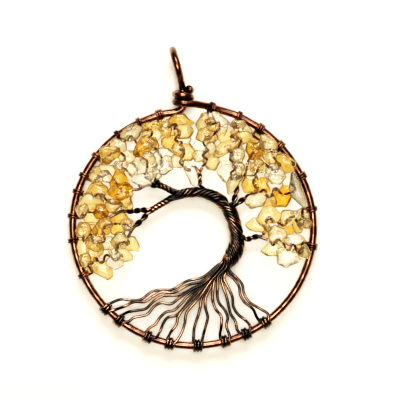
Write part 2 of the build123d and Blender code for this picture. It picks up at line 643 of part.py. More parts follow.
def apart_from_threads(moves, middles, shapes):
    for name, (start, corners) in crown_ends.items():
        spots = [np.array([*start])] + bore_spots(name) + [np.array([*c]) for c in corners[:2]]
        numbers = [chip.number for chip in string_chips[name]]
        for run_number, (from_spot, to_spot) in enumerate(zip(spots, spots[1:])):
            run = to_spot - from_spot
            share = np.clip((middles - from_spot) @ run / (run @ run), 0, 1)
            away = middles - from_spot - share[:, None] * run
            near = np.linalg.norm(away, axis=1) < LONGEST_CHIP / 2 + CROWN_WIRE
            near[numbers[max(0, run_number - 1):run_number + 1]] = False
            if not near.any():
                continue
            ways = facing(shapes[near], away[near])
            gaps = gaps_along(ways, away[near], reach(shapes[near], ways) + CROWN_WIRE / 2)
            moves[near] -= ways * np.minimum(gaps, 0)[:, None]


def settle():
    """Moves the chips a little from where they are drawn until they lie clear of each other."""
    shapes = np.array([chip.shape for chip in chips])
    homes = np.array([chip.home for chip in chips])
    depths = np.sqrt(shapes[:, 2, 2])
    middles = homes.copy()
    for step in range(SETTLING_STEPS):
        moves = np.zeros_like(middles)
        apart_from_chips(moves, middles, shapes)
        apart_from_obstacles(moves, middles, shapes)
        apart_from_threads(moves, middles, shapes)
        middles = middles + SETTLING_SHARE * moves
        pull = SETTLING_PULL * max(0.0, 1 - step / (SETTLING_SHARE * SETTLING_STEPS))
        middles += pull * (homes - middles)
        middles[:, 2] = np.clip(middles[:, 2], depths - REST_HEIGHT, CROWN_FRONT - depths)
        for chip, middle in zip(chips, middles):
            chip.middle = middle


settle()


def draw_chip(chip):
    """A faceted chip, for the open part builder: flat faces between four six-sided sections."""
    long_way, side, up = [Vector(*axis) for axis in chip.axes]
    faces = []
    for level, size in CHIP_LEVELS:
        middle = Vector(*chip.middle) + up * level * chip.halves[2]
        corners = []
        for corner in range(CHIP_SIDES):
            uneven = math.sin(5.3 * chip.number + 2.9 * corner)
            around = 2 * math.pi * (corner + 0.22 * uneven) / CHIP_SIDES
            out = size * (0.93 + 0.07 * math.cos(3.1 * chip.number + 1.7 * corner))
            corners.append(
                middle
                + long_way * out * chip.halves[0] * math.cos(around)
                + side * out * chip.halves[1] * math.sin(around)
            )
        faces.append(Face(Wire.make_polygon(corners)))
    loft(faces, ruled=True)


crown_paths = {}
for name, line_chips in string_chips.items():
    start, corners = crown_ends[name]
    turns = [start] + [Vector(*spot) for spot in bore_spots(name)]
    points = turns + corners
    tight = [BORE_BEND] * (len(turns) + 1) + [math.inf] * len(corners)
    crown_paths[name] = bend(points, tight)
    strung = bend(turns + corners[:2], tight)
    with BuildPart() as crown_wire:
        draw_wire(crown_paths[name], CROWN_WIRE)
    keep(crown_wire, f"crown_wire_{name}")
    with BuildPart() as chip_string:
        for chip in line_chips:
            draw_chip(chip)
        draw_wire(strung, CROWN_WIRE + 2 * BORE_CLEARANCE, mode=Mode.SUBTRACT)
    keep(chip_string, f"chips_{name}")


# The pendant is moved to where it rests: the middle of its outline at the origin, its back at zero
boxes = [piece.bounding_box() for piece in pieces.values()]
lowest = Vector(*(min(getattr(box.min, axis) for box in boxes) for axis in "XYZ"))
highest = Vector(*(max(getattr(box.max, axis) for box in boxes) for axis in "XYZ"))
rest = Location((-(lowest.X + highest.X) / 2, -(lowest.Y + highest.Y) / 2, -lowest.Z))
os.makedirs("parts", exist_ok=True)
for name, piece in pieces.items():
    export_step(piece.moved(rest), f"parts/{name}.step")
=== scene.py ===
import math

import bmesh
import bpy
import numpy as np
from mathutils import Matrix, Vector, noise


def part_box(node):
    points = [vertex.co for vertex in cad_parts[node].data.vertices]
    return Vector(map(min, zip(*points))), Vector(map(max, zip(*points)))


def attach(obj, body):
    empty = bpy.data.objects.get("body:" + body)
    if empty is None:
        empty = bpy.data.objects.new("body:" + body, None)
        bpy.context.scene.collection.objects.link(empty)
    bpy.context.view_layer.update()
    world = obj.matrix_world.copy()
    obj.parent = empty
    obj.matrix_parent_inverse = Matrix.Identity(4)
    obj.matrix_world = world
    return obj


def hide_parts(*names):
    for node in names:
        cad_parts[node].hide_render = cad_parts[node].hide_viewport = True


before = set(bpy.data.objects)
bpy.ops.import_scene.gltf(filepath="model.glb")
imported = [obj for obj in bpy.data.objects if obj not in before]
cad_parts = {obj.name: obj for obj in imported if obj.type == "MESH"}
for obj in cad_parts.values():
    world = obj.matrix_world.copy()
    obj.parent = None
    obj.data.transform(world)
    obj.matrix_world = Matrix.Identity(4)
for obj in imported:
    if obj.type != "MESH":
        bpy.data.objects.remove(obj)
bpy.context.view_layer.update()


# Ring, coil and bail
# One length of thick round copper wire, bent into the ring, coiled round its own two ends at the
# neck and looped over for the bail. Like all the wire here it was blackened in a bath and rubbed,
# so it is bare on its high and worn places and nearly black in its hollows.
MM = 0.001  # in metres, as the frame is


def new_group(name, inputs, outputs):
    """An empty shader node group with these inputs, each with its first value, and outputs."""
    group = bpy.data.node_groups.new(name, "ShaderNodeTree")
    for socket, kind, value in inputs:
        item = group.interface.new_socket(socket, in_out="INPUT", socket_type=kind)
        item.default_value = value
    for socket, kind in outputs:
        group.interface.new_socket(socket, in_out="OUTPUT", socket_type=kind)
    return group


def add_node(tree, kind, links=(), **values):
    """A node with its properties and constant inputs set, and its other inputs linked."""
    node = tree.nodes.new(kind)
    sockets = values.pop("inputs", {})
    for name, value in values.items():
        setattr(node, name, value)
    for name, value in sockets.items():
        node.inputs[name].default_value = value
    for name, output in dict(links).items():
        tree.links.new(output, node.inputs[name])
    return node


PATCH_SIZE = 1.5 * MM  # of the rubbed places
GRAIN_SIZE = 0.12 * MM
MIX_FIRST, MIX_SECOND, MIXED = 6, 7, 2  # numbers of a Mix node's colour sockets
wear_group = new_group(
    "rubbed_patina",
    [
        ("Vector", "NodeSocketVector", (0, 0, 0)),
        ("Bare Copper", "NodeSocketColor", (0.50, 0.24, 0.14, 1)),
        ("Patina", "NodeSocketColor", (0.035, 0.022, 0.018, 1)),
        ("Black Share", "NodeSocketFloat", 0.5),
        ("Hollow", "NodeSocketFloat", 0.0),
        ("Polish", "NodeSocketFloat", 0.25),
        ("Patch Size", "NodeSocketFloat", PATCH_SIZE),
    ],
    [
        ("Color", "NodeSocketColor"),
        ("Roughness", "NodeSocketFloat"),
        ("Height", "NodeSocketFloat"),
    ],
)
given = wear_group.nodes.new("NodeGroupInput").outputs
patches_in_metre = add_node(
    wear_group, "ShaderNodeMath", {1: given["Patch Size"]}, operation="DIVIDE", inputs={0: 1.0}
)
patches = add_node(
    wear_group, "ShaderNodeTexNoise",
    {"Vector": given["Vector"], "Scale": patches_in_metre.outputs[0]},
    inputs={"Detail": 2.0, "Roughness": 0.5},
)
grain = add_node(
    wear_group, "ShaderNodeTexNoise", {"Vector": given["Vector"]},
    inputs={"Scale": 1 / GRAIN_SIZE, "Detail": 2.0},
)
blackened = add_node(
    wear_group, "ShaderNodeMath",
    {0: given["Black Share"], 1: given["Hollow"]}, operation="ADD",
)
level = add_node(
    wear_group, "ShaderNodeMath", {0: blackened.outputs[0], 1: patches.outputs["Fac"]},
    operation="SUBTRACT",
)
black = add_node(
    wear_group, "ShaderNodeMapRange", {"Value": level.outputs[0]},
    interpolation_type="SMOOTHSTEP", inputs={"From Min": -0.14, "From Max": 0.14},
)
colour = add_node(
    wear_group, "ShaderNodeMix",
    {"Factor": black.outputs[0], MIX_FIRST: given["Bare Copper"], MIX_SECOND: given["Patina"]},
    data_type="RGBA",
)
dulled = add_node(
    wear_group, "ShaderNodeMath", {0: black.outputs[0], 2: given["Polish"]},
    operation="MULTIPLY_ADD", inputs={1: 0.10},
)
rough = add_node(
    wear_group, "ShaderNodeMath", {0: grain.outputs["Fac"], 2: dulled.outputs[0]},
    operation="MULTIPLY_ADD", inputs={1: 0.10},
)
add_node(
    wear_group, "NodeGroupOutput",
    {"Color": colour.outputs[MIXED], "Roughness": rough.outputs[0],
     "Height": grain.outputs["Fac"]},
)


def copper(
    name, bare, patina, black_share, polish, patch_size=PATCH_SIZE, hollow_reach=0.35 * MM,
    hollow_share=0.55,
):
    """Antique copper: a rubbed patina over metal, blacker where other wire comes close."""
    material = bpy.data.materials.new(name)
    material.use_nodes = True
    tree = material.node_tree
    metal = tree.nodes["Principled BSDF"]
    metal.inputs["Metallic"].default_value = 1.0
    metal.inputs["Coat Weight"].default_value = 0.6
    metal.inputs["Coat Roughness"].default_value = 0.16
    place = tree.nodes.new("ShaderNodeTexCoord")
    open_air = add_node(
        tree, "ShaderNodeAmbientOcclusion", samples=6, inputs={"Distance": hollow_reach}
    )
    hollow = add_node(
        tree, "ShaderNodeMapRange", {"Value": open_air.outputs["AO"]},
        inputs={"From Min": 0.25, "From Max": 0.90, "To Min": hollow_share, "To Max": 0.0},
    )
    wear = add_node(
        tree, "ShaderNodeGroup", {"Vector": place.outputs["Object"], "Hollow": hollow.outputs[0]},
        node_tree=wear_group,
        inputs={
            "Bare Copper": (*bare, 1), "Patina": (*patina, 1), "Black Share": black_share,
            "Polish": polish, "Patch Size": patch_size,
        },
    )
    relief = add_node(
        tree, "ShaderNodeBump", {"Height": wear.outputs["Height"]},
        inputs={"Strength": 0.15, "Distance": 0.03 * MM},
    )
    tree.links.new(wear.outputs["Color"], metal.inputs["Base Color"])
    tree.links.new(wear.outputs["Roughness"], metal.inputs["Roughness"])
    tree.links.new(relief.outputs[0], metal.inputs["Normal"])
    return material


ring_copper = copper(
    "ring_copper", bare=(0.34, 0.145, 0.08), patina=(0.095, 0.034, 0.018),
    black_share=0.52, polish=0.17,
)


SOLID_WELD = 0.001 * MM  # corners of a solid that are nearer than this are one


def wear_finish(node_name, material):
    """Gives a solid of the frame its finish, with its loose triangles welded and smooth."""
    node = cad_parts[node_name]
    node.data.materials.clear()
    node.data.materials.append(material)
    weld = node.modifiers.new("weld", "WELD")
    weld.merge_threshold = SOLID_WELD
    for polygon in node.data.polygons:
        polygon.use_smooth = True


wear_finish("ring_frame", ring_copper)


# Roots, trunk and branches
# Eight lengths of soft copper wire. The middle of each is wound round the ring, and its two legs
# run up as roots, are twisted with the others into the trunk, and leave it in branches.

# Places are given as in a front view, x to the right and y down in small units. There the pendant
# leans a little, and here it lies on its back with its bail to +Y.
RING_RADIUS = 24.25 * MM  # to the middle of the ring's wire
VIEW_RADIUS = 119  # the same in units
UNIT = RING_RADIUS / VIEW_RADIUS
VIEW_MIDDLE = (193.9, 227.2)
LEAN = math.radians(4.7)
RING_TO_LEFT = 25.392 * MM  # from the ring's middle to the left end of the frame's box
RING_TO_BAIL_TOP = 36.890 * MM
RING_TO_FRONT = 6.695 * MM

frame_low, frame_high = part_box("ring_frame")
ring_middle = np.array([
    frame_low.x + RING_TO_LEFT, frame_high.y - RING_TO_BAIL_TOP, frame_high.z - RING_TO_FRONT,
])
UP = np.array([0.0, 0.0, 1.0])


def spot(x, y, depth=0.0):
    """A place of the front view, at a height over the middle of the ring's wire, in metres."""
    across = (x - VIEW_MIDDLE[0]) * UNIT
    along = (VIEW_MIDDLE[1] - y) * UNIT
    return ring_middle + np.array([
        across * math.cos(LEAN) + along * math.sin(LEAN),
        along * math.cos(LEAN) - across * math.sin(LEAN),
        depth,
    ])


def through(points, step=0.25 * MM):
    """A smooth line through the points, sampled about every step."""
    points = np.array(points, float)
    points = np.vstack([2 * points[0] - points[1], points, 2 * points[-1] - points[-2]])
    line = []
    for before, start, end, after in zip(points, points[1:], points[2:], points[3:]):
        ways = np.array([start - before, end - start, after - end])
        lengths = np.linalg.norm(ways, axis=1)
        times = lengths**0.5  # so that the line makes no loop between near points
        speeds = ways / times[:, None]
        leaving, arriving = [
            (speeds[i] + speeds[i + 1] - (ways[i] + ways[i + 1]) / (times[i] + times[i + 1]))
            * times[1] for i in (0, 1)
        ]
        count = max(2, round(lengths[1] / step))
        share = np.arange(count)[:, None] / count
        line.extend(
            start + leaving * share + (3 * ways[1] - 2 * leaving - arriving) * share**2
            + (leaving + arriving - 2 * ways[1]) * share**3
        )
    line.append(points[-2])
    return np.array(line)


# Each root is wound round the ring, and waves up from there to the foot of the trunk
WIRE = 0.5 * MM
FRAME_WIRE = 1.5 * MM
STRAND_STEP = 0.62 * MM  # between the middles of two wires side by side
ROOT_TURNS = 2.5
TURN_PITCH = 0.64 * MM
TURN_GAP = 0.05 * MM  # between a turn and the ring
# Middle of the ring's wire: angle in the front view, and share of the ring's radius
RING_TABLE = [
    (69, 0.999), (55, 0.994), (40, 0.993), (25, 0.996), (10, 1.003), (-5, 1.004),
    (-20, 1.004), (-35, 1.002), (-50, 0.998), (-65, 0.995), (-80, 0.993), (-95, 0.995),
    (-110, 0.996), (-125, 0.999), (-140, 1.002), (-155, 1.008), (-170, 1.015), (-185, 1.018),
    (-200, 1.017), (-215, 1.010), (-230, 0.998), (-244, 0.983), (-255, 0.977),
]
# Middle of each winding on the ring in the front view
ROOT_WINDINGS = [
    (106.3, 308.5), (120.0, 319.5), (148.5, 335.3), (170.0, 342.0),
    (197.6, 345.0), (225.3, 341.8), (246.0, 334.2), (264.8, 321.6),
]
# Each leg from the ring up to the foot of the trunk, two to a wire
ROOT_LEGS = [
    [(110, 303.5), (121, 299.3), (131, 300.2), (141, 299.4), (152, 291.6), (161, 290.0),
     (172, 289.6), (187, 281.2), (203, 277.0)],
    [(115, 309.5), (124, 306.5), (134, 302.0), (145, 301.5), (154, 295.6), (162, 292.0),
     (173, 292.6), (188, 285.0), (204, 280.0)],
    [(122, 315.0), (129, 311.6), (137, 310.3), (146, 308.4), (154, 301.0), (163, 295.8),
     (179, 294.6), (193, 288.0), (205, 281.0)],
    [(129, 321.0), (134, 317.4), (141, 315.9), (148, 313.6), (154.5, 306.0), (161, 302.6),
     (171, 303.6), (180, 297.0), (192, 289.0), (205, 282.0)],
    [(149, 328.5), (155, 324.6), (160, 317.6), (166, 312.3), (174, 310.3), (180, 305.0),
     (187, 297.0), (197, 289.0), (208, 277.5)],
    [(156, 337.0), (160, 331.6), (163.5, 323.0), (168, 317.2), (176, 315.4), (183, 308.6),
     (190, 299.4), (199, 290.0), (209, 278.5)],
    [(168.5, 336.5), (171.5, 331.0), (176.5, 324.4), (178, 317.4), (182.5, 310.0), (189, 303.0),
     (196, 296.0), (203, 288.0), (209.5, 280.0)],
    [(177.5, 339.5), (182, 331.5), (184.8, 323.0), (186.4, 313.0), (192, 305.5), (199, 297.6),
     (205, 289.0), (210.5, 281.0)],
    [(193.5, 338.0), (194.5, 327.0), (198, 316.0), (200.2, 307.5), (201.8, 298.0),
     (208.5, 288.0), (214.5, 277.0)],
    [(202.6, 337.5), (205.4, 327.0), (207.8, 317.0), (205.5, 308.0), (205.6, 298.0),
     (210.4, 288.0), (215.5, 277.5)],
    [(220, 335.5), (221.4, 325.0), (221, 316.0), (215.5, 308.5), (212.8, 300.0), (213, 289.0),
     (215.5, 278.5)],
    [(229.5, 335.5), (226.4, 325.5), (227.6, 317.0), (224.6, 309.5), (219.0, 302.5),
     (217.2, 294.0), (217.8, 285.0), (218, 276.5)],
    [(237.5, 330.5), (235.4, 321.5), (230.6, 313.6), (228.6, 305.5), (226.4, 296.0),
     (223.4, 287.0), (221.5, 277.5)],
    [(250, 326.0), (245.5, 320.2), (238, 314.2), (233.4, 306.5), (232.4, 297.0), (228.4, 287.6),
     (224.0, 277.5)],
    [(257, 317.5), (252.6, 308.6), (244.5, 302.0), (240.2, 294.5), (239.0, 286.5),
     (234.0, 279.0), (227.6, 272.8)],
    [(267.5, 313.5), (260, 308.4), (249, 301.4), (244.0, 293.0), (242.0, 284.0), (236.5, 277.4),
     (230.0, 271.2)],
]
# Foot of the trunk in the front view, where the strands lie four across and four deep
FOOT = (225.2, 265.6)
FOOT_ACROSS = (0.80, 0.60)
FOOT_ROWS = 4
MIDDLE_ROW = (FOOT_ROWS - 1) / 2
ring_angles, ring_shares = np.array(RING_TABLE[::-1], float).T


def ring_spot(angle):
    """A place on the middle of the ring's wire, by its angle in degrees in the front view."""
    radius = VIEW_RADIUS * np.interp(angle, ring_angles, ring_shares)
    turn = math.radians(angle)
    return spot(
        VIEW_MIDDLE[0] + radius * math.cos(turn), VIEW_MIDDLE[1] - radius * math.sin(turn)
    )


def wound_on_ring(x, y, steps_in_turn=20):
    """Points of a root wire's turns on the ring, from behind the ring round to its front."""
    angle = math.degrees(math.atan2(VIEW_MIDDLE[1] - y, x - VIEW_MIDDLE[0]))
    angle = angle if angle < RING_TABLE[0][0] else angle - 360
    reach = (FRAME_WIRE + WIRE) / 2 + TURN_GAP
    count = round(ROOT_TURNS * steps_in_turn)
    span = math.degrees(ROOT_TURNS * TURN_PITCH / RING_RADIUS)
    line = []
    for index in range(count + 1):
        here = angle + (index / count - 0.5) * span
        middle = ring_spot(here)
        out = middle - ring_middle
        out /= np.linalg.norm(out)
        around = math.pi / 2 + 2 * math.pi * index / steps_in_turn
        line.append(middle - out * reach * math.cos(around) - UP * reach * math.sin(around))
    return line


def leg_points(leg, side):
    """A root's leg from the ring, behind it (side -1) or before it (side 1), to the foot."""
    column, row = divmod(leg, FOOT_ROWS)
    along = (column - MIDDLE_ROW) * STRAND_STEP / UNIT
    depth = (row - MIDDLE_ROW) * STRAND_STEP
    outer, *rest = ROOT_LEGS[leg]
    line = [spot(*outer, side * (FRAME_WIRE + WIRE) / 2)]
    line += [spot(x, y, depth) for x, y in rest]
    line.append(spot(FOOT[0] + along * FOOT_ACROSS[0], FOOT[1] + along * FOOT_ACROSS[1], depth))
    return line


# The strands climb the trunk, most round its outside and some within, and leave it in turn
TRUNK_WIDTH = 3.0 * MM
# Middle of the trunk from the foot up, and its width as a share of the trunk's
TRUNK_TABLE = [
    (225.9, 264.6, 0.90), (230.6, 258.6, 1.08), (234.5, 251.2, 1.12), (236.9, 243.0, 0.98),
    (236.6, 234.0, 0.90), (234.8, 225.0, 0.90), (232.0, 216.0, 0.94), (227.6, 207.6, 0.88),
    (220.6, 200.6, 0.83), (211.4, 195.4, 0.76), (200.6, 192.4, 0.70), (190.0, 192.6, 0.69),
    (182.0, 194.2, 0.64), (176.4, 195.6, 0.56),
]
FOOT_PITCH = 8.6 * MM  # length in which a strand goes round the trunk once, low and high
ARCH_PITCH = 6.8 * MM
BEND_START = 0.375  # of the trunk's length, from which the twist tightens
# Where each branch leaves the trunk, as a share of its length, and how many strands it takes
LEAVING = [
    ("right_low", 0.30, 2), ("right_middle", 0.545, 2), ("right_high", 0.565, 2), ("top", 0.79, 2),
]
LEAVING_SIDE = math.radians(80)  # from the trunk's front, where strands leave it
INNER_SHARE = 0.36  # how far from the middle the inner strands lie
STRAND_ROOM = 0.61 * MM  # round the trunk, for each outer strand
FOOT_RUN = 2.2 * MM  # in which the strands spread round the trunk's foot
CLOSING_RUN = 2.0 * MM  # in which the others close up after some have left
TRUNK_START = 1.6 * MM  # from the foot, below which the legs come in
TRUNK_STEP = 0.8 * MM
LOOK_AHEAD = 0.3 * MM  # each way along the trunk, to tell its direction
LOOSENESS = 0.05  # how much a strand lies in and out, as a share of its reach
LOOSE_RUN = 1.7 * MM  # up the trunk, for each radian of that wave
LOOSE_PHASE = 2.3  # of the wave, between one strand and the next
BRANCH_RUN = 0.5 * MM  # in which a strand swings out into its branch
trunk_line = through([spot(x, y) for x, y, share in TRUNK_TABLE])
trunk_runs = np.linalg.norm(np.diff(trunk_line, axis=0), axis=1)
trunk_far = np.concatenate([[0], np.cumsum(trunk_runs)])
trunk_length = trunk_far[-1]
trunk_halves = np.interp(
    np.linspace(0, 1, len(trunk_line)), np.linspace(0, 1, len(TRUNK_TABLE)),
    [share * TRUNK_WIDTH / 2 for x, y, share in TRUNK_TABLE],
)
trunk_pitches = np.interp(
    trunk_far / trunk_length, [BEND_START, 1], [FOOT_PITCH, ARCH_PITCH]
)
trunk_twists = np.concatenate([[0], np.cumsum(-2 * math.pi * trunk_runs / trunk_pitches[1:])])


def in_trunk(far, around, share):
    """A place in the trunk: how far up it, the angle from its front to its right, how far out."""
    before, middle, after = [
        np.array([np.interp(place, trunk_far, trunk_line[:, axis]) for axis in range(3)])
        for place in (far - LOOK_AHEAD, far, far + LOOK_AHEAD)
    ]
    right = np.cross(after - before, UP)
    right /= np.linalg.norm(right)
    reach = (np.interp(far, trunk_far, trunk_halves) - WIRE / 2) * share
    return middle + (UP * math.cos(around) + right * math.sin(around)) * reach


def turned(angle):
    """The same angle, between half a turn back and half a turn on."""
    return (angle + math.pi) % (2 * math.pi) - math.pi


# Where every strand lies round the trunk: how far up, its own angle, and its share of the reach
strand_knots = {}
for leg in range(len(ROOT_LEGS)):
    column, row = divmod(leg, FOOT_ROWS)
    right, front = column - MIDDLE_ROW, row - MIDDLE_ROW
    inner = abs(right) < 1 and abs(front) < 1
    strand_knots[leg] = [(0.0, math.atan2(right, front), INNER_SHARE if inner else 1.0)]
climbing = list(strand_knots)


def own_angle(strand):
    """A strand's angle where it was last set, without the trunk's twist."""
    return strand_knots[strand][-1][1]


def spread(strands, far):
    """Spaces the strands evenly round the trunk from there on, the outer ones and the inner."""
    reach = np.interp(far, trunk_far, trunk_halves) - WIRE / 2
    room = math.floor(2 * math.pi * reach / STRAND_ROOM)
    by_share = sorted(strands, key=lambda strand: -strand_knots[strand][-1][2])
    for group, share in ((by_share[:room], 1.0), (by_share[room:], INNER_SHARE)):
        if not group:
            continue
        group = sorted(group, key=lambda strand: turned(own_angle(strand)))
        even = [2 * math.pi * index / len(group) for index in range(len(group))]
        first = np.mean([turned(own_angle(strand)) - angle for strand, angle in zip(group, even)])
        for strand, angle in zip(group, even):
            last = own_angle(strand)
            strand_knots[strand].append((far, last + turned(first + angle - last), share))


spread(climbing, FOOT_RUN)
leaves = {}
for branch, share, taken in LEAVING:
    far = share * trunk_length
    twist = np.interp(far, trunk_far, trunk_twists)
    outer = [strand for strand in climbing if strand_knots[strand][-1][2] == 1.0]
    nearest = sorted(
        outer, key=lambda strand: abs(turned(own_angle(strand) + twist - LEAVING_SIDE))
    )[:taken]
    for order, strand in enumerate(nearest):
        leaves[strand] = (branch, far - BRANCH_RUN, order)
        climbing.remove(strand)
    # The others keep their places up to there, and then close up
    for strand in climbing:
        strand_knots[strand].append((far, *strand_knots[strand][-1][1:]))
    spread(climbing, far + CLOSING_RUN)


def up_the_trunk(strand, end):
    """Points of one strand from above the foot up to where it leaves."""
    fars, angles, shares = zip(*strand_knots[strand])
    line = []
    for far in np.arange(TRUNK_START, end, TRUNK_STEP):
        around = np.interp(far, fars, angles) + np.interp(far, trunk_far, trunk_twists)
        loose = 1 + LOOSENESS * math.sin(far / LOOSE_RUN + LOOSE_PHASE * strand)
        line.append(in_trunk(far, around, np.interp(far, fars, shares) * loose))
    return line


# Each branch is a pair of strands twisted together: its line, the half turns of its twist, and
# the cut ends of its two strands
BRANCHES = {
    "top": (
        [(199.6, 184.6), (199.3, 179.0), (199.5, 173.0)], 2,
        [[(197.2, 169.6), (194.0, 166.2)], [(201.0, 170.2), (202.0, 167.6)]],
    ),
    "right_high": (
        [(233.6, 202.6), (235.2, 196.4), (236.4, 190.4), (237.2, 185.0)], 2,
        [[(239.0, 181.5), (242.4, 176.8)], [(238.2, 182.6), (238.6, 180.6)]],
    ),
    "right_middle": (
        [(238.6, 203.4), (242.6, 199.8), (247.0, 197.6), (251.0, 194.6)], 2,
        [[(253.6, 191.4), (255.8, 188.6)], [(253.4, 193.4), (255.2, 192.2)]],
    ),
    "right_low": (
        [(246.4, 239.8), (250.6, 238.4), (254.6, 237.0), (258.6, 236.6)], 2,
        [[(262.4, 237.8), (267.7, 239.8)], [(260.6, 236.2), (262.2, 236.4)]],
    ),
}
# A stem of four strands, its quarter turns, and the two pairs that it forks into
FORKS = [
    (
        [(172.4, 191.4), (169.0, 189.6), (164.8, 187.4), (160.6, 185.6)], 3,
        [
            ([(158.4, 183.0), (156.6, 181.2)], 1,
             [[(155.4, 179.4), (154.4, 177.9)], [(155.0, 180.6), (153.6, 179.4)]]),
            ([(157.0, 186.2), (153.6, 185.4), (150.4, 184.8)], 1,
             [[(145.0, 186.2), (138.6, 189.4), (131.2, 189.7)], [(148.6, 184.6), (147.0, 185.2)]]),
        ],
    ),
    (
        [(170.4, 198.6), (165.0, 202.2), (159.0, 205.6), (152.6, 209.4)], 5,
        [
            ([(148.2, 210.2), (142.0, 210.0), (134.0, 211.2), (127.0, 211.2)], 3,
             [[(122.6, 210.8), (116.6, 213.6), (109.4, 217.4)], [(124.6, 211.4), (122.6, 211.9)]]),
            ([(147.6, 213.6), (143.6, 218.2), (139.0, 222.8), (135.4, 226.0)], 2,
             [[(132.6, 229.4), (127.5, 238.6)], [(134.0, 227.6), (133.2, 229.0)]]),
        ],
    ),
]
STEM_STRANDS = 4
STEM_REACH = 0.62 * STRAND_STEP  # from a stem's middle to each of its strands
STEM_RUN = 0.6 * MM  # in which a strand swings out into its stem


def twist_round(spots, reach, first, last, steps_in_turn=8):
    """Points of a strand that goes round a branch's middle line, from one angle to another."""
    middle = through([spot(x, y) for x, y in spots])
    count = max(3, math.ceil(abs(last - first) / (2 * math.pi / steps_in_turn)))
    line = []
    for index in range(count + 1):
        share = index / count * (len(middle) - 1)
        low = min(int(share), len(middle) - 2)
        here = middle[low] + (share - low) * (middle[low + 1] - middle[low])
        side = np.cross(UP, middle[low + 1] - middle[low])
        side /= np.linalg.norm(side)
        around = first + (last - first) * index / count
        line.append(here + (side * math.cos(around) + UP * math.sin(around)) * reach)
    return line


def cut_end(spots, last):
    """Points of a strand's free end, at the height of the last point before it."""
    return [spot(x, y, last[2] - ring_middle[2]) for x, y in spots]


strand_tops = {}
for strand, (branch, far, order) in leaves.items():
    spots, half_turns, ends = BRANCHES[branch]
    first = math.pi * (order + 0.5)
    line = twist_round(spots, STRAND_STEP / 2, first, first + half_turns * math.pi)
    strand_tops[strand] = up_the_trunk(strand, far) + line + cut_end(ends[order], line[-1])
# The other strands run to the trunk's end and part into the two stems
starts = {strand: math.pi / 2 - turned(own_angle(strand) + trunk_twists[-1]) for strand in climbing}
from_right = sorted(starts, key=lambda strand: -math.cos(starts[strand]))
for fork, (stem, quarter_turns, pairs) in enumerate(FORKS):
    in_stem = from_right[STEM_STRANDS * fork:STEM_STRANDS * (fork + 1)]
    for order, strand in enumerate(sorted(in_stem, key=starts.get)):
        pair, in_pair = divmod(order, 2)
        first = min(starts[member] for member in in_stem) + order * 2 * math.pi / STEM_STRANDS
        line = twist_round(stem, STEM_REACH, first, first + quarter_turns * math.pi / 2)
        spots, half_turns, ends = pairs[pair]
        first = math.pi * (in_pair + 0.5)
        line += twist_round(spots, STRAND_STEP / 2, first, first + half_turns * math.pi)
        climb = up_the_trunk(strand, trunk_length - STEM_RUN)
        strand_tops[strand] = climb + line + cut_end(ends[in_pair], line[-1])

tree_curve = bpy.data.curves.new("tree_lines", "CURVE")
tree_curve.dimensions = "3D"
for number, (x, y) in enumerate(ROOT_WINDINGS):
    behind = leg_points(2 * number, -1) + strand_tops[2 * number]
    before = leg_points(2 * number + 1, 1) + strand_tops[2 * number + 1]
    line = through(behind[::-1] + wound_on_ring(x, y) + before)
    spline = tree_curve.splines.new("POLY")
    spline.points.add(len(line) - 1)
    spline.points.foreach_set("co", np.column_stack([line, np.ones(len(line))]).ravel())


WANDER_SIZE = 2.5 * MM  # of the bends left in hand-drawn wire


def drawn_wire_tree():
    """Nodes that draw round wire along curves, a little uneven."""
    tree = bpy.data.node_groups.new("drawn_wire", "GeometryNodeTree")
    interface = tree.interface
    interface.new_socket("Geometry", in_out="INPUT", socket_type="NodeSocketGeometry")
    for name, kind, value in [
        ("Wire", "NodeSocketFloat", WIRE), ("Spacing", "NodeSocketFloat", 0.2 * MM),
        ("Sides", "NodeSocketInt", 10), ("Unevenness", "NodeSocketFloat", 0.02 * MM),
    ]:
        interface.new_socket(name, in_out="INPUT", socket_type=kind).default_value = value
    interface.new_socket("Material", in_out="INPUT", socket_type="NodeSocketMaterial")
    interface.new_socket("Geometry", in_out="OUTPUT", socket_type="NodeSocketGeometry")
    given = tree.nodes.new("NodeGroupInput").outputs
    even = add_node(
        tree, "GeometryNodeResampleCurve",
        {"Curve": given["Geometry"], "Length": given["Spacing"]}, mode="LENGTH",
    )
    wander = add_node(
        tree, "ShaderNodeTexNoise", inputs={"Scale": 1 / WANDER_SIZE, "Detail": 1.0},
    )
    wander_from_middle = add_node(
        tree, "ShaderNodeVectorMath", {0: wander.outputs["Color"]},
        operation="SUBTRACT", inputs={1: (0.5, 0.5, 0.5)},
    )
    offset = add_node(
        tree, "ShaderNodeVectorMath",
        {0: wander_from_middle.outputs[0], "Scale": given["Unevenness"]}, operation="SCALE",
    )
    moved = add_node(
        tree, "GeometryNodeSetPosition", {"Geometry": even.outputs[0], "Offset": offset.outputs[0]}
    )
    half = add_node(
        tree, "ShaderNodeMath", {0: given["Wire"]}, operation="MULTIPLY", inputs={1: 0.5}
    )
    round_section = add_node(
        tree, "GeometryNodeCurvePrimitiveCircle",
        {"Resolution": given["Sides"], "Radius": half.outputs[0]},
    )
    tube = add_node(
        tree, "GeometryNodeCurveToMesh",
        {"Curve": moved.outputs[0], "Profile Curve": round_section.outputs[0]},
        inputs={"Fill Caps": True},
    )
    smooth = add_node(tree, "GeometryNodeSetShadeSmooth", {"Geometry": tube.outputs[0]})
    real = add_node(tree, "GeometryNodeRealizeInstances", {"Geometry": smooth.outputs[0]})
    finished = add_node(
        tree, "GeometryNodeSetMaterial",
        {"Geometry": real.outputs[0], "Material": given["Material"]},
    )
    add_node(tree, "NodeGroupOutput", {0: finished.outputs[0]})
    return tree


drawn_wire = drawn_wire_tree()


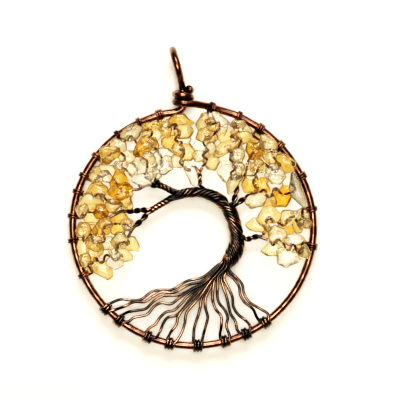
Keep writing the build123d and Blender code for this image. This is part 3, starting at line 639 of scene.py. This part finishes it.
def draw_wires(name, curve, **values):
    """A plain mesh piece from the curve, made by the wire drawing nodes with these inputs."""
    source = bpy.data.objects.new(name + "_source", curve)
    bpy.context.collection.objects.link(source)
    modifier = source.modifiers.new("drawn_wire", "NODES")
    modifier.node_group = drawn_wire
    for item in drawn_wire.interface.items_tree:
        if item.in_out == "INPUT" and item.name in values:
            modifier[item.identifier] = values[item.name]
    ready = bpy.context.evaluated_depsgraph_get()
    mesh = bpy.data.meshes.new_from_object(source.evaluated_get(ready), depsgraph=ready)
    mesh.name = name
    bpy.data.objects.remove(source)
    piece = bpy.data.objects.new(name, mesh)
    bpy.context.collection.objects.link(piece)
    return piece


tree_copper = copper(
    "tree_copper", bare=(0.50, 0.28, 0.18), patina=(0.028, 0.021, 0.018),
    black_share=0.55, polish=0.15, patch_size=3.2 * MM, hollow_reach=0.5 * MM, hollow_share=0.9,
)
# The strands are drawn as thick as their step, so that they lie against each other
tree_wires = draw_wires("tree_wires", tree_curve, Wire=STRAND_STEP, Material=tree_copper)
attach(tree_wires, "root")
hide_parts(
    "trunk",
    *[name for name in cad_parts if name.startswith(("root_wire_", "branch_"))],
)


# Crown wires
# Sixteen thin copper wires, one for each string of chips. Each goes from a branch through its
# chips and is wound two or three times round the ring, where its end is cut.
thread_copper = copper(
    "thread_copper", bare=(0.40, 0.16, 0.08), patina=(0.05, 0.018, 0.010),
    black_share=0.50, polish=0.22,
)
THREAD_ROUND = 0.08 * MM  # how much fuller the soft wire is than its solid
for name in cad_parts:
    if name.startswith("crown_wire_"):
        wear_finish(name, thread_copper)
        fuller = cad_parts[name].modifiers.new("fuller", "DISPLACE")
        fuller.strength = THREAD_ROUND
        fuller.mid_level = 0.0


# Chips
# Small tumbled chips of yellow stone, drilled from both ends. Most are pale and clear, some are
# honey, amber or olive. Each keeps its solid's place and bore, with its edges tumbled round.
TONES = {
    "clear": (0.97, 0.93, 0.82), "pale": (0.96, 0.88, 0.69), "yellow": (0.95, 0.83, 0.56),
    "gold": (0.92, 0.77, 0.47), "honey": (0.90, 0.70, 0.31), "amber": (0.88, 0.61, 0.15),
    "olive": (0.82, 0.73, 0.50), "smoke": (0.69, 0.65, 0.54),
}
# Middle of each chip in the front view, and its tone
CHIP_TONES = [
    (190.5, 174.0, "clear"), (176.0, 160.4, "pale"), (188.6, 151.4, "gold"),
    (178.4, 151.4, "gold"), (183.8, 140.7, "clear"), (168.6, 142.5, "honey"),
    (183.8, 132.0, "gold"), (172.0, 131.5, "yellow"), (178.4, 122.0, "honey"),
    (165.9, 127.5, "gold"), (155.0, 172.0, "clear"), (163.5, 165.7, "clear"),
    (161.4, 155.9, "clear"), (155.2, 145.0, "gold"), (144.5, 142.0, "honey"),
    (152.5, 134.2, "pale"), (153.5, 126.6, "honey"), (145.0, 178.6, "clear"),
    (142.7, 168.5, "clear"), (149.0, 159.6, "pale"), (137.4, 159.0, "clear"),
    (141.5, 151.2, "amber"), (132.9, 136.3, "olive"), (131.2, 168.6, "clear"),
    (119.5, 165.0, "pale"), (127.0, 156.4, "pale"), (120.4, 147.4, "pale"),
    (112.0, 155.4, "honey"), (126.0, 191.0, "pale"), (116.4, 190.6, "amber"),
    (118.6, 179.4, "amber"), (108.4, 167.9, "pale"), (104.4, 178.0, "clear"),
    (96.6, 174.5, "yellow"), (124.6, 203.6, "yellow"), (112.8, 204.6, "gold"),
    (103.4, 201.6, "pale"), (104.6, 192.0, "yellow"), (92.4, 198.0, "yellow"),
    (90.9, 186.3, "honey"), (103.4, 211.6, "amber"), (92.7, 212.0, "yellow"),
    (83.4, 208.6, "pale"), (127.6, 224.4, "pale"), (118.6, 222.6, "honey"),
    (106.2, 223.6, "yellow"), (101.6, 231.8, "honey"), (106.5, 241.2, "pale"),
    (95.0, 243.4, "gold"), (91.0, 230.6, "gold"), (84.2, 246.4, "yellow"),
    (83.8, 231.6, "gold"), (131.6, 244.4, "gold"), (120.6, 240.6, "olive"),
    (113.4, 249.4, "clear"), (123.4, 255.2, "yellow"), (115.2, 261.8, "clear"),
    (105.2, 252.2, "clear"), (104.6, 268.4, "gold"), (94.5, 255.6, "gold"),
    (92.6, 268.2, "yellow"), (86.0, 259.6, "yellow"), (206.6, 164.0, "olive"),
    (199.8, 155.6, "pale"), (211.0, 151.0, "pale"), (203.0, 146.2, "clear"),
    (204.2, 134.8, "gold"), (212.4, 137.6, "gold"), (218.4, 129.6, "clear"),
    (222.6, 121.4, "clear"), (211.6, 125.0, "gold"), (203.6, 123.6, "yellow"),
    (233.4, 182.6, "olive"), (229.0, 170.4, "clear"), (238.0, 168.0, "pale"),
    (226.0, 159.4, "clear"), (236.6, 157.4, "clear"), (226.6, 149.0, "gold"),
    (238.2, 147.6, "olive"), (243.0, 139.4, "yellow"), (230.6, 135.4, "gold"),
    (245.6, 130.6, "olive"), (236.0, 126.0, "olive"), (246.0, 171.4, "pale"),
    (246.2, 161.8, "pale"), (250.8, 152.6, "amber"), (258.8, 148.6, "smoke"),
    (267.0, 143.8, "yellow"), (256.0, 138.6, "yellow"), (252.4, 181.6, "honey"),
    (256.4, 169.0, "yellow"), (263.2, 160.4, "pale"), (276.6, 174.4, "clear"),
    (284.0, 163.4, "honey"), (272.4, 156.2, "yellow"), (256.0, 200.9, "pale"),
    (263.6, 186.2, "amber"), (268.8, 200.4, "gold"), (274.6, 183.8, "clear"),
    (281.6, 196.8, "amber"), (296.4, 191.0, "smoke"), (267.4, 232.4, "gold"),
    (257.9, 226.6, "gold"), (269.5, 216.6, "gold"), (287.0, 228.0, "honey"),
    (285.4, 216.6, "yellow"), (293.6, 216.0, "clear"), (296.6, 226.4, "gold"),
    (304.0, 223.6, "olive"), (303.6, 213.8, "olive"), (273.6, 249.6, "yellow"),
    (276.6, 234.8, "pale"), (284.8, 244.0, "pale"), (286.6, 256.4, "clear"),
    (293.6, 238.0, "clear"), (296.6, 254.4, "olive"), (302.6, 252.6, "olive"),
    (302.0, 243.0, "gold"),
]
STONE_VOXEL = 0.13 * MM
TUMBLING = 12  # rounds of smoothing after the stone is cut into small cells
STONE_FULLNESS = (1.24, 1.24, 1.10)  # of its solid, which is cut in flat faces inside the stone
STONE_SWELLING = 0.126 * MM
STONE_DENTS = 0.18 * MM
DENT_SIZE = 1.5 * MM
DENT_SHIFT = 3.7  # through the noise from one stone to the next, so that no two are dented alike
BORE_SIDE, OPEN_SIDE = 0.1, 0.6  # share of outward facing, in the bore and on the outside
REST_GAP = 0.01 * MM  # between a stone and what the pendant lies on
CHIP_WELD = 0.0005 * MM  # the same for a chip's solid
LIGHT_THROUGH = 0.70  # share of the light that a stone lets through to the surface below

# Veils of colour inside the stone, and painted shade: the colour is darkened towards the rims,
# where the stone is seen edge-on
stone_group = new_group(
    "stone_veils_and_rim_shade",
    [
        ("Vector", "NodeSocketVector", (0, 0, 0)),
        ("Tone", "NodeSocketColor", (0.9, 0.8, 0.5, 1)),
        ("Veil Size", "NodeSocketFloat", 0.6 * MM),
        ("Painted Rim Shade", "NodeSocketFloat", 0.0),
    ],
    [
        ("Color", "NodeSocketColor"),
        ("Roughness", "NodeSocketFloat"),
        ("Height", "NodeSocketFloat"),
    ],
)
given = stone_group.nodes.new("NodeGroupInput").outputs
veils_in_metre = add_node(
    stone_group, "ShaderNodeMath", {1: given["Veil Size"]}, operation="DIVIDE", inputs={0: 1.0}
)
veils = add_node(
    stone_group, "ShaderNodeTexNoise",
    {"Vector": given["Vector"], "Scale": veils_in_metre.outputs[0]},
    inputs={"Detail": 4.0, "Roughness": 0.65, "Distortion": 0.6},
)
deepened = add_node(
    stone_group, "ShaderNodeMix", {MIX_FIRST: given["Tone"], MIX_SECOND: given["Tone"]},
    data_type="RGBA", blend_type="MULTIPLY", inputs={"Factor": 1.0},
)
streaks = add_node(
    stone_group, "ShaderNodeMapRange", {"Value": veils.outputs["Fac"]},
    interpolation_type="SMOOTHSTEP", inputs={"From Min": 0.42, "From Max": 0.68},
)
toned = add_node(
    stone_group, "ShaderNodeMix",
    {"Factor": streaks.outputs[0], MIX_FIRST: given["Tone"], MIX_SECOND: deepened.outputs[MIXED]},
    data_type="RGBA",
)
# Painted shade: the colour is multiplied darker where the stone is seen edge-on, at its rims
painted_rim_shade = add_node(
    stone_group, "ShaderNodeMix", {"Factor": given["Painted Rim Shade"], MIX_FIRST: toned.outputs[MIXED]},
    data_type="RGBA", blend_type="MULTIPLY", inputs={MIX_SECOND: (0.78, 0.62, 0.38, 1)},
)
frosted = add_node(
    stone_group, "ShaderNodeMapRange", {"Value": veils.outputs["Fac"]},
    inputs={"From Min": 0.3, "From Max": 0.75, "To Min": 0.02, "To Max": 0.14},
)
add_node(
    stone_group, "NodeGroupOutput",
    {"Color": painted_rim_shade.outputs[MIXED], "Roughness": frosted.outputs[0],
     "Height": veils.outputs["Fac"]},
)

stone = bpy.data.materials.new("tumbled_citrine")
stone.use_nodes = True
tree = stone.node_tree
body = tree.nodes["Principled BSDF"]
body.inputs["Transmission Weight"].default_value = 0.92
body.inputs["IOR"].default_value = 1.50
place = tree.nodes.new("ShaderNodeTexCoord")
tone = add_node(tree, "ShaderNodeAttribute", attribute_name="tone")
# How edge-on the surface is seen, which sets the painted shade at the rims
edge_on = add_node(tree, "ShaderNodeLayerWeight", inputs={"Blend": 0.35})
look = add_node(
    tree, "ShaderNodeGroup",
    {"Vector": place.outputs["Object"], "Tone": tone.outputs["Color"],
     "Painted Rim Shade": edge_on.outputs["Facing"]},
    node_tree=stone_group,
)
tree.links.new(look.outputs["Color"], body.inputs["Base Color"])
tree.links.new(look.outputs["Roughness"], body.inputs["Roughness"])
dents = add_node(
    tree, "ShaderNodeBump", {"Height": look.outputs["Height"]},
    inputs={"Strength": 0.5, "Distance": 0.08 * MM},
)
tree.links.new(dents.outputs[0], body.inputs["Normal"])
rays = tree.nodes.new("ShaderNodeLightPath")
shade = add_node(
    tree, "ShaderNodeMath", {0: rays.outputs["Is Shadow Ray"]},
    operation="MULTIPLY_ADD", inputs={1: -LIGHT_THROUGH, 2: 1.0},
)
tree.links.new(shade.outputs[0], body.inputs["Alpha"])

tone_spots = np.array([spot(x, y)[:2] for x, y, tone_name in CHIP_TONES])


def loose_chips(name):
    """The closed solids of a string of chips, one after the other, each as a mesh."""
    cut = bmesh.new()
    cut.from_mesh(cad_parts[name].data)
    bmesh.ops.remove_doubles(cut, verts=cut.verts, dist=CHIP_WELD)
    waiting = dict.fromkeys(cut.verts)
    while waiting:
        reached = [next(iter(waiting))]
        del waiting[reached[0]]
        for vertex in reached:
            for edge in vertex.link_edges:
                other = edge.other_vert(vertex)
                if other in waiting:
                    del waiting[other]
                    reached.append(other)
        chip = bmesh.new()
        copies = {vertex: chip.verts.new(vertex.co) for vertex in reached}
        for face in dict.fromkeys(face for vertex in reached for face in vertex.link_faces):
            chip.faces.new([copies[vertex] for vertex in face.verts])
        rough_mesh = bpy.data.meshes.new("rough_chip")
        chip.to_mesh(rough_mesh)
        chip.free()
        yield rough_mesh
    cut.free()


def tumble(rough_mesh, number):
    """The points and faces of a stone: its solid in small cells, smoothed, swollen and dented."""
    rough_chip = bpy.data.objects.new("rough_chip", rough_mesh)
    bpy.context.collection.objects.link(rough_chip)
    cells = rough_chip.modifiers.new("cells", "REMESH")
    cells.mode = "VOXEL"
    cells.voxel_size = STONE_VOXEL
    tumbling = rough_chip.modifiers.new("tumbling", "SMOOTH")
    tumbling.factor = 0.5
    tumbling.iterations = TUMBLING
    ready = bpy.context.evaluated_depsgraph_get()
    smooth = bpy.data.meshes.new_from_object(rough_chip.evaluated_get(ready), depsgraph=ready)
    bpy.data.objects.remove(rough_chip)
    points = np.array([vertex.co for vertex in smooth.vertices])
    normals = np.array([vertex.normal for vertex in smooth.vertices])
    faces = [list(polygon.vertices) for polygon in smooth.polygons]
    middle = points.mean(axis=0)
    points = middle + (points - middle) * STONE_FULLNESS
    outward = points - middle
    outward /= np.linalg.norm(outward, axis=1)[:, None]
    outside = np.interp(
        np.einsum("ij,ij->i", outward, normals), [BORE_SIDE, OPEN_SIDE], [0, 1]
    )
    shift = Vector((DENT_SHIFT * number, 0, 0))
    dents = np.array([noise.noise(Vector(point) / DENT_SIZE + shift) for point in points])
    points += normals * (outside * (dents * STONE_DENTS + STONE_SWELLING))[:, None]
    points[:, 2] += max(0.0, REST_GAP - points[:, 2].min())
    return points, faces, middle


chip_number = 0
for name in sorted(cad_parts):
    if not name.startswith("chips_"):
        continue
    all_points, all_faces, all_tones = [], [], []
    for rough_mesh in loose_chips(name):
        points, faces, middle = tumble(rough_mesh, chip_number)
        # The stone takes the tone that is listed nearest to it
        nearest = np.argmin(np.linalg.norm(tone_spots - middle[:2], axis=1))
        all_faces += [[len(all_points) + index for index in face] for face in faces]
        all_points += points.tolist()
        all_tones += [(*TONES[CHIP_TONES[nearest][2]], 1.0)] * len(points)
        chip_number += 1
    stones_name = "stones_" + name.removeprefix("chips_")
    mesh = bpy.data.meshes.new(stones_name)
    mesh.from_pydata(all_points, [], all_faces)
    mesh.polygons.foreach_set("use_smooth", [True] * len(mesh.polygons))
    layer = mesh.color_attributes.new("tone", "FLOAT_COLOR", "POINT")
    layer.data.foreach_set("color", np.array(all_tones).ravel())
    mesh.materials.append(stone)
    stones = bpy.data.objects.new(stones_name, mesh)
    bpy.context.collection.objects.link(stones)
    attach(stones, "root")
    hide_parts(name)


# Surface, light and camera
# A white sheet, lit by two large soft lights overhead and past the bail, and seen from straight
# above. The room gives warm light all round, but is dark where the copper mirrors it.
FLOOR_REACH = 600 * MM
floor_mesh = bpy.data.meshes.new("surface")
floor_mesh.from_pydata(
    [(-FLOOR_REACH, -FLOOR_REACH, 0), (FLOOR_REACH, -FLOOR_REACH, 0),
     (FLOOR_REACH, FLOOR_REACH, 0), (-FLOOR_REACH, FLOOR_REACH, 0)],
    [], [(0, 1, 2, 3)],
)
floor = bpy.data.objects.new("surface", floor_mesh)
bpy.context.collection.objects.link(floor)
paper = bpy.data.materials.new("white_sheet")
paper.use_nodes = True
sheet = paper.node_tree.nodes["Principled BSDF"]
sheet.inputs["Base Color"].default_value = (0.93, 0.92, 0.90, 1)
sheet.inputs["Roughness"].default_value = 0.9
floor_mesh.materials.append(paper)

world = bpy.data.worlds.new("room")
bpy.context.scene.world = world
world.use_nodes = True
room = world.node_tree
room.nodes["Background"].inputs["Color"].default_value = (1.0, 0.82, 0.52, 1)
room_rays = room.nodes.new("ShaderNodeLightPath")
room_light = add_node(
    room, "ShaderNodeMapRange", {"Value": room_rays.outputs["Is Glossy Ray"]},
    inputs={"To Min": 0.50, "To Max": 0.07},
)
room.links.new(room_light.outputs[0], room.nodes["Background"].inputs["Strength"])


def panel(name, place, size, watts, colour):
    """A large soft light at a place, turned to the pendant."""
    light = bpy.data.lights.new(name, "AREA")
    light.shape = "RECTANGLE"
    light.size, light.size_y = size
    light.energy = watts
    light.color = colour
    lamp = bpy.data.objects.new(name, light)
    bpy.context.collection.objects.link(lamp)
    lamp.location = place
    lamp.rotation_euler = (-Vector(place)).to_track_quat("-Z", "Y").to_euler()


panel(
    "window", place=(0.06, 0.34, 0.34), size=(0.30, 0.16), watts=1.8, colour=(1.0, 0.98, 0.95)
)
panel(
    "overhead", place=(0.0, 0.02, 0.52), size=(0.27, 0.27), watts=1.6, colour=(1.0, 0.95, 0.84)
)

CAMERA_HEIGHT = 452 * MM
CAMERA_FROM_RING = (1.70 * MM, 5.41 * MM)
ALL_COLOURS = 3  # number of the view's curve for the three colours together
camera = bpy.data.cameras.new("camera")
camera.lens = 200
camera.sensor_width = 36
camera.clip_start = 0.01
camera.clip_end = 10
camera.dof.use_dof = False
viewer = bpy.data.objects.new("camera", camera)
bpy.context.collection.objects.link(viewer)
viewer.location = (
    ring_middle[0] + CAMERA_FROM_RING[0], ring_middle[1] + CAMERA_FROM_RING[1],
    ring_middle[2] + CAMERA_HEIGHT,
)
viewer.rotation_euler = (0, 0, -LEAN)
bpy.context.scene.camera = viewer
# The photograph is printed hard: its dark places are nearly black and its pale ones white
printed = bpy.context.scene.view_settings
printed.view_transform = "Standard"
printed.use_curve_mapping = True
for light_in, light_out in [
    (0.013, 0.003), (0.034, 0.013), (0.079, 0.047), (0.178, 0.165), (0.40, 0.48), (0.70, 0.80),
]:
    printed.curve_mapping.curves[ALL_COLOURS].points.new(light_in, light_out)
printed.curve_mapping.update()
